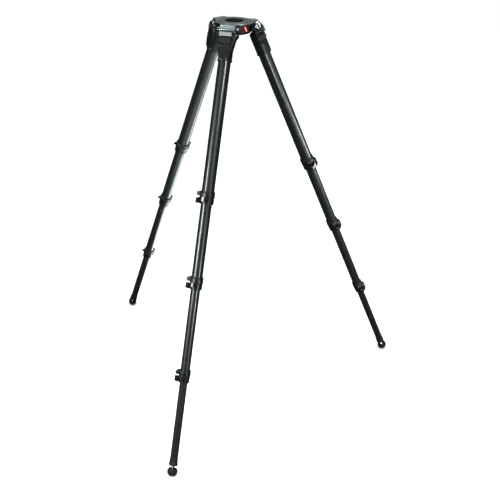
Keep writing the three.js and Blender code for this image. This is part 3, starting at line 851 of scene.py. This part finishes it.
# ------------------------------------------------------------------ tubes and locks
def tube(stage, low, high):
    radius = TUBE_RADII[stage]
    bore = radius - TUBE_WALL
    return turned([(bore, low), (radius, low), (radius, high), (bore, high)], ROUND, 0.3, 2)


def lever_pin_offset(stage):
    return TUBE_RADII[stage + 1] + 14


# Heights of the collar's ears, which hold the lever's pin, and the barrel of its pinch bolt.
EARS = ((-6.6, -3.0), (-19.4, -15.8))
BARREL_RADIUS = 7.5
BARREL_OFFSET = 7.5
BARREL_LEVEL = 11.0


def collar(stage):
    upper = TUBE_RADII[stage]
    lower = TUBE_RADII[stage + 1]
    outer = upper + COLLAR_WALL
    skirt = lower + 5.0
    ring = turned([(lower + 2, -COLLAR_HALF, 0), (skirt - 0.4, -COLLAR_HALF, 1.2), (skirt, -1.8, 0.8),
                   (outer, 0.8, 0.8), (outer, 14, 0.6), (outer - 0.7, 15, 0.4), (outer - 0.7, 16.4, 0.4),
                   (outer, 17.2, 0.4), (outer, COLLAR_HALF, 1.4), (lower + 2, COLLAR_HALF, 0)])
    barrel = turn(rod(BARREL_RADIUS, -8.5, 8.5, 48, 1.4), 90, "Y")
    barrel = shift(barrel, 0, -upper - BARREL_OFFSET, BARREL_LEVEL)
    pin_at = lever_pin_offset(stage)
    ear_outline = [(6.5, -lower - 2), (-6.5, -lower - 2), *arc(6.5, 180, 360, 24, (0, -pin_at))]
    ears = [prism(ear_outline, low, high, edge=0.6) for low, high in EARS]
    rib = prism([(-1.2, outer - 2), (1.2, outer - 2), (1.2, outer + 1.4), (-1.2, outer + 1.4)], -1, 17,
                edge=0.5, radius=0.6)
    body = soften(join(ring, barrel, *ears, turn(rib, -120, "Z")), 0.55, 0.35)
    grip = rod(upper + CLEARANCE, 1, COLLAR_HALF + 1, ROUND, 0)
    slide = rod(lower + CLEARANCE, -COLLAR_HALF - 1, 2, ROUND, 0)
    pin_hole = rod(2.3, -25, -1, 24, 0, (0, -pin_at))
    bolt_way = turned([(0, -9), (2.4, -9), (2.4, 5.8), (4.4, 5.8), (4.4, 12), (0, 12)], 40, 0)
    bolt_way = shift(turn(bolt_way, 90, "Y"), 0, -upper - BARREL_OFFSET, BARREL_LEVEL)
    slit = prism([(-0.8, -upper - 16), (0.8, -upper - 16), (0.8, -lower + 2), (-0.8, -lower + 2)], 1, 25,
                 edge=0)
    return cut(body, grip, slide, pin_hole, bolt_way, slit)


def pinch_bolt(stage):
    """Socket-head bolt across the collar's split barrel."""
    shank = [(0, -8.3, 0), (2.1, -8.3, 0.3), (2.1, 6.0, 0)]
    head = [(4.1, 6.0, 0.2), (4.1, 8.9, 0.6), (0, 8.9, 0)]
    bolt = turned([*shank, *head], 40)
    socket = prism(arc(1.9, 0, 300, 5), 6.8, 10, edge=0)
    return shift(turn(cut(bolt, socket), 90, "Y"), 0, -TUBE_RADII[stage] - BARREL_OFFSET, BARREL_LEVEL)


def lock_bush(stage):
    """The pale nylon lip of the bush, where the lower tube leaves the collar."""
    lower = TUBE_RADII[stage + 1]
    foot = -COLLAR_HALF - 1.0
    top = -COLLAR_HALF - 0.05
    bore = lower + 0.25
    return turned([(bore, foot), (lower + 2.6, foot), (lower + 3.0, top), (bore, top)], ROUND, 0.3)


def lever(stage):
    """Cam hub, and a handle that wraps the collar, rising and narrowing to a flared tip."""
    inner = TUBE_RADII[stage] + 6.0
    first, last = math.radians(-66), math.radians(28)
    steps = 40
    flare, root_thickness, thinning = 2.4, 4.6, 1.4
    outside, inside = [], []
    for i in range(steps + 1):
        t = i / steps
        angle = first + (last - first) * t
        reach = inner + flare * max(0.0, 4 * t - 3) ** 2
        thickness = root_thickness - thinning * t ** 3
        inside.append((reach * math.cos(angle), reach * math.sin(angle)))
        outside.append(((reach + thickness) * math.cos(angle), (reach + thickness) * math.sin(angle)))
    foot, top, rise = -20, -1.5, 8.5
    middle = (foot + top) / 2
    handle = prism([*outside, *reversed(inside)], foot, top, edge=1.4, segments=4)
    for vertex in handle.data.vertices:
        x, y, z = vertex.co
        t = (math.atan2(y, x) - first) / (last - first)
        vertex.co.z = middle + rise * t + (z - middle) * (1 - 0.32 * t - 0.18 * t ** 4)
    low, high = EARS[1][1] + CLEARANCE, EARS[0][0] - CLEARANCE
    pin_at = lever_pin_offset(stage)
    hub = rod(5.5, low, high, 48, 0.5, (0, -pin_at))
    root = Vector(outside[0])
    neck = prism([(0, -pin_at - 5), (root.x + 1.5, root.y - 0.5), (root.x + 0.5, root.y + 4.5),
                  (0, -pin_at + 4.5)], low, high, edge=0.5)
    return join(handle, hub, neck)


def lever_pin(stage):
    shank = [(0, -20.2, 0), (1.6, -20.2, 0.3), (2.0, -19.6, 0.2), (2.0, -3.0, 0)]
    head = [(3.0, -3.0, 0.1), (3.0, -2.2, 0.4), (0, -2.0, 0)]
    return shift(turned([*shank, *head], 40, 0.2), y=-lever_pin_offset(stage))


# ------------------------------------------------------------------ foot, about the ball's centre
PLUG_BOTTOM = 18.3
PLUG_LENGTH = 24.0
FOOT_TOP = 9.0


def end_plug():
    """A moulded cap over the end of the last tube, with a groove round it and a hole for the spike."""
    foot = PLUG_BOTTOM
    top = PLUG_BOTTOM + PLUG_LENGTH
    step = PLUG_BOTTOM + 6.3
    hole = 4.2
    bore = TUBE_RADII[3] + 0.2
    nose = [(hole, foot, 0.3), (8, foot, 3), (14, foot + 2.4, 3), (15, foot + 4.9, 1.5)]
    neck = [(14.4, foot + 7, 2), (13.7, foot + 12, 1), (13.2, foot + 13, 0.3), (13.2, foot + 14, 0.3)]
    band = [(13.6, foot + 14.6, 0.3), (13.6, top - 1.6, 0.6), (12.9, top, 0.4)]
    inside = [(bore, top, 0.1), (bore, step, 0), (hole, step, 0)]
    return turned([*nose, *neck, *band, *inside], ROUND)


def spike():
    """A steel stem, threaded where the foot runs on it, with a hardened point."""
    radius = 3.9
    thread_depth = 0.5
    thread_pitch = 1.25
    profile = [(0, -13.4, 0), (0.5, -13.3, 0.2), (radius, -6.5, 0.4)]
    z = 5.0
    while z < PLUG_BOTTOM - 1.5:
        profile += [(radius, z, 0.1), (radius - thread_depth, z + 0.5, 0.1), (radius, z + 1.0, 0.1)]
        z += thread_pitch
    profile += [(radius, PLUG_BOTTOM + 12, 0.3), (0, PLUG_BOTTOM + 12, 0)]
    return turned(profile, 48, 0)


def rubber_foot():
    """A rubber ball, dished on top, with a moulded groove round it."""
    hole = 4.5
    start = math.degrees(math.atan2(-math.sqrt(FOOT_RADIUS ** 2 - hole ** 2), hole))
    end = math.degrees(math.asin(FOOT_TOP / FOOT_RADIUS))
    below = [(r, z, 0.4) for r, z in arc(FOOT_RADIUS, start, 8, 22)]
    groove = [(r, z, 0.2) for r, z in ((FOOT_RADIUS - 0.7, 3.0), (FOOT_RADIUS - 0.7, 3.9))]
    above = [(r, z, 0.4) for r, z in arc(FOOT_RADIUS, 16.5, end, 8)]
    dish = [(10, FOOT_TOP + 0.2, 1.2), (6.5, 4.5, 1.0), (hole, 4.0, 0.4)]
    return turned([*below, *groove, *above, *dish], ROUND, 0.4, 2)


# ------------------------------------------------------------------ legs
def build_legs():
    """The shoulder, the collars and the levers are made once and copied to the three legs; the other pieces
    are made for each leg.
    """
    shoulder_draft = shoulder()
    collars = [collar(stage) for stage in range(3)]
    levers = [lever(stage) for stage in range(3)]
    for side in SIDES:
        hinge = leg_matrix(side)
        axis = hinge @ Matrix.Translation((-PIN_TO_LEG_AXIS, 0, 0))
        leg = f"leg_{side}"
        place(copy_of(shoulder_draft), f"shoulder_cast_{side}", hinge, leg, LEG_PAINT, "shoulder_metal",
              [f"shoulder_{side}"])
        place(hinge_bolt(), f"hinge_bolt_{side}", hinge, leg, CAP_STEEL, "pin_steel", [f"hinge_pin_{side}"])
        place(ear_washers(), f"ear_washers_{side}", hinge, leg, LOCK_PAINT)
        place(angle_latch(), f"latch_tab_{side}", hinge, f"latch_{side}", LATCH_PLASTIC, "latch_black",
              [f"angle_latch_{side}"])
        place(name_plate(), f"blank_plate_{side}", hinge, leg, PLATE, "plate_metal", [f"name_plate_{side}"])
        holders = (leg, f"stage_2_{side}", f"stage_3_{side}", f"stage_4_{side}")
        for stage, holder in enumerate(holders):
            node = f"tube_{stage + 1}_{side}"
            low, high = span_along(node, axis)
            place(tube(stage, low, high), f"carbon_{node}", axis, holder, CARBON[stage], "carbon_tube",
                  [node])
        for stage, holder in enumerate(holders[:3]):
            number = stage + 1
            low, high = span_along(f"collar_{number}_{side}", axis)
            lock = axis @ Matrix.Translation((0, 0, (low + high) / 2))
            place(copy_of(collars[stage]), f"lock_collar_{number}_{side}", lock, holder, LOCK_PAINT,
                  "collar_black", [f"collar_{number}_{side}"])
            place(pinch_bolt(stage), f"pinch_bolt_{number}_{side}", lock, holder, DARK_STEEL)
            place(lock_bush(stage), f"lock_bush_{number}_{side}", lock, holder, BUSH_NYLON)
            swing = f"lever_{number}_{side}"
            place(copy_of(levers[stage]), f"lock_{swing}", lock, swing, LEVER_PLASTIC, "lever_gloss", [swing])
            place(lever_pin(stage), f"lever_pin_{number}_{side}", lock, swing, STEEL)
        foot_low, foot_high = span_along(f"rubber_foot_{side}", axis)
        foot = axis @ Matrix.Translation((0, 0, foot_high - FOOT_TOP))
        place(end_plug(), f"plug_{side}", foot, holders[3], PLUG_PLASTIC, "plug_black", [f"end_plug_{side}"])
        place(spike(), f"steel_spike_{side}", foot, holders[3], STEEL, "spike_steel", [f"spike_{side}"])
        place(rubber_foot(), f"ball_foot_{side}", foot, f"foot_{side}", RUBBER, "foot_rubber",
              [f"rubber_foot_{side}"])
    for draft in (shoulder_draft, *collars, *levers):
        discard(draft)


# ------------------------------------------------------------------ stage, light and camera
# In metres.
FLOOR_SIZE = 40
SHELL_RADIUS = 19


def build_floor():
    bpy.ops.mesh.primitive_plane_add(size=FLOOR_SIZE, location=(0, 0, -0.0005))
    floor = bpy.context.object
    floor.name = "floor"
    floor.visible_glossy = False
    local = floor.data.attributes.new("local", "FLOAT_VECTOR", "POINT")
    for point, vertex in zip(local.data, floor.data.vertices):
        point.vector = vertex.co / MM
    floor.data.materials.append(floor_paper("floor_paper"))


def build_backdrop():
    """A wide white shell behind everything, seen by the camera and by nothing else."""
    bpy.ops.mesh.primitive_uv_sphere_add(segments=96, ring_count=48, radius=SHELL_RADIUS, location=(0, 0, 0))
    shell = bpy.context.object
    shell.name = "backdrop"
    shell.visible_diffuse = False
    shell.visible_glossy = False
    shell.visible_transmission = False
    shell.visible_shadow = False
    f = Finish("backdrop_white", (0, 0, 0), 1.0, Emission_Strength=1.0)
    f.feed(f.shader.inputs["Emission Color"], f.mixed(f.noise(0.3, 2), (1.0, 1.0, 1.0), (0.97, 0.97, 0.97)))
    shell.data.materials.append(f.material)


# Soft boxes: name, place, what it is aimed at, width and height in metres, power in watts.
SOFT_BOXES = (
    ("left_box", (-1.5, -2.3, 1.5), (0, -0.2, 0.8), (1.05, 0.85), 84),
    ("upper_right_box", (1.78, -1.3, 2.2), (0, -0.05, 1.2), (0.45, 0.45), 34),
    ("lower_right_box", (1.9, -1.3, 0.7), (0, -0.22, 0.56), (0.45, 0.4), 20),
    ("right_card", (2.0, 0.35, 0.8), (0.2, 0.27, 0.92), (1.3, 0.28), 20),
    ("floor_card", (0.36, 0.88, 0.02), (0.36, 0.88, 1.0), (1.45, 0.75), 24),
    ("near_floor_card", (0.35, -0.4, 0.02), (0.35, -0.4, 1.0), (1.5, 1.0), 9),
    ("back_card", (-0.2, 1.9, 2.3), (0, 0, 1.34), (1.3, 0.6), 5),
)
# The cards that light one leg only, and that leg.
CARDS = {"right_card": "right", "floor_card": "left", "near_floor_card": "left"}
# The floor cards face up, where the left leg mirrors the floor, and are turned by these degrees.
FLOOR_CARD_TURN = 27
CARD_TINT = (0.93, 1.0, 1.0)
OVERHEAD_SPREAD = math.radians(80)
OVERHEAD_STRENGTH = 3.7
WORLD_STRENGTH = 0.03


def soft_box(name, location, target, size, power):
    light = bpy.data.lights.new(name, "AREA")
    light.shape = "RECTANGLE"
    light.size, light.size_y = size
    light.energy = power
    light.color = CARD_TINT
    lamp = bpy.data.objects.new(name, light)
    bpy.context.scene.collection.objects.link(lamp)
    lamp.location = location
    lamp.rotation_euler = (Vector(target) - Vector(location)).to_track_quat("-Z", "Y").to_euler()
    lamp.visible_camera = False
    return lamp


def overhead():
    """A wide soft light from straight above, which keeps the floor evenly white."""
    light = bpy.data.lights.new("overhead", "SUN")
    light.energy = OVERHEAD_STRENGTH
    light.angle = OVERHEAD_SPREAD
    lamp = bpy.data.objects.new("overhead", light)
    bpy.context.scene.collection.objects.link(lamp)


def build_light():
    world = bpy.data.worlds.new("studio")
    bpy.context.scene.world = world
    world.use_nodes = True
    background = world.node_tree.nodes["Background"]
    background.inputs["Color"].default_value = (1, 1, 1, 1)
    background.inputs["Strength"].default_value = WORLD_STRENGTH
    overhead()
    lamps = {box[0]: soft_box(*box) for box in SOFT_BOXES}
    upward = Matrix.Rotation(math.radians(FLOOR_CARD_TURN), 4, "Z") @ Matrix.Rotation(math.pi, 4, "X")
    for name in ("floor_card", "near_floor_card"):
        lamps[name].rotation_euler = upward.to_euler()
    for name, side in CARDS.items():
        lit = bpy.data.collections.new(f"lit_by_{name}")
        for obj in bpy.data.objects:
            if obj.type == "MESH" and obj.name.endswith(f"_{side}"):
                lit.objects.link(obj)
        lamps[name].light_linking.receiver_collection = lit
    bpy.context.scene.view_settings.view_transform = "Standard"
    bpy.context.scene.view_settings.gamma = 0.85


def build_camera():
    """At the height, distance and tilt that the crown and the three feet are seen from.

    Angles are in radians and sensor is in millimetres. focal is for a picture width of 500.
    """
    yaw, pitch, roll = -0.27, 0.4782, 0.0235
    focal, width, sensor = 824.0, 500.0, 36.0
    from_axis = Vector((0.7742, -2.5470, 0.5581))
    crown = crown_matrix().translation
    forward = Vector((math.sin(yaw) * math.cos(pitch), math.cos(yaw) * math.cos(pitch), -math.sin(pitch)))
    level = forward.cross(Vector((0, 0, 1))).normalized()
    rise = level.cross(forward)
    right = math.cos(roll) * level + math.sin(roll) * rise
    up = -math.sin(roll) * level + math.cos(roll) * rise
    data = bpy.data.cameras.new("camera")
    data.sensor_width = sensor
    data.lens = focal / width * sensor
    data.clip_start = 0.05
    camera = bpy.data.objects.new("camera", data)
    matrix = Matrix((right, up, -forward)).transposed().to_4x4()
    matrix.translation = crown + from_axis
    camera.matrix_world = matrix
    bpy.context.scene.collection.objects.link(camera)
    bpy.context.scene.camera = camera


build_floor()
build_backdrop()
build_crown()
build_legs()
build_light()
build_camera()
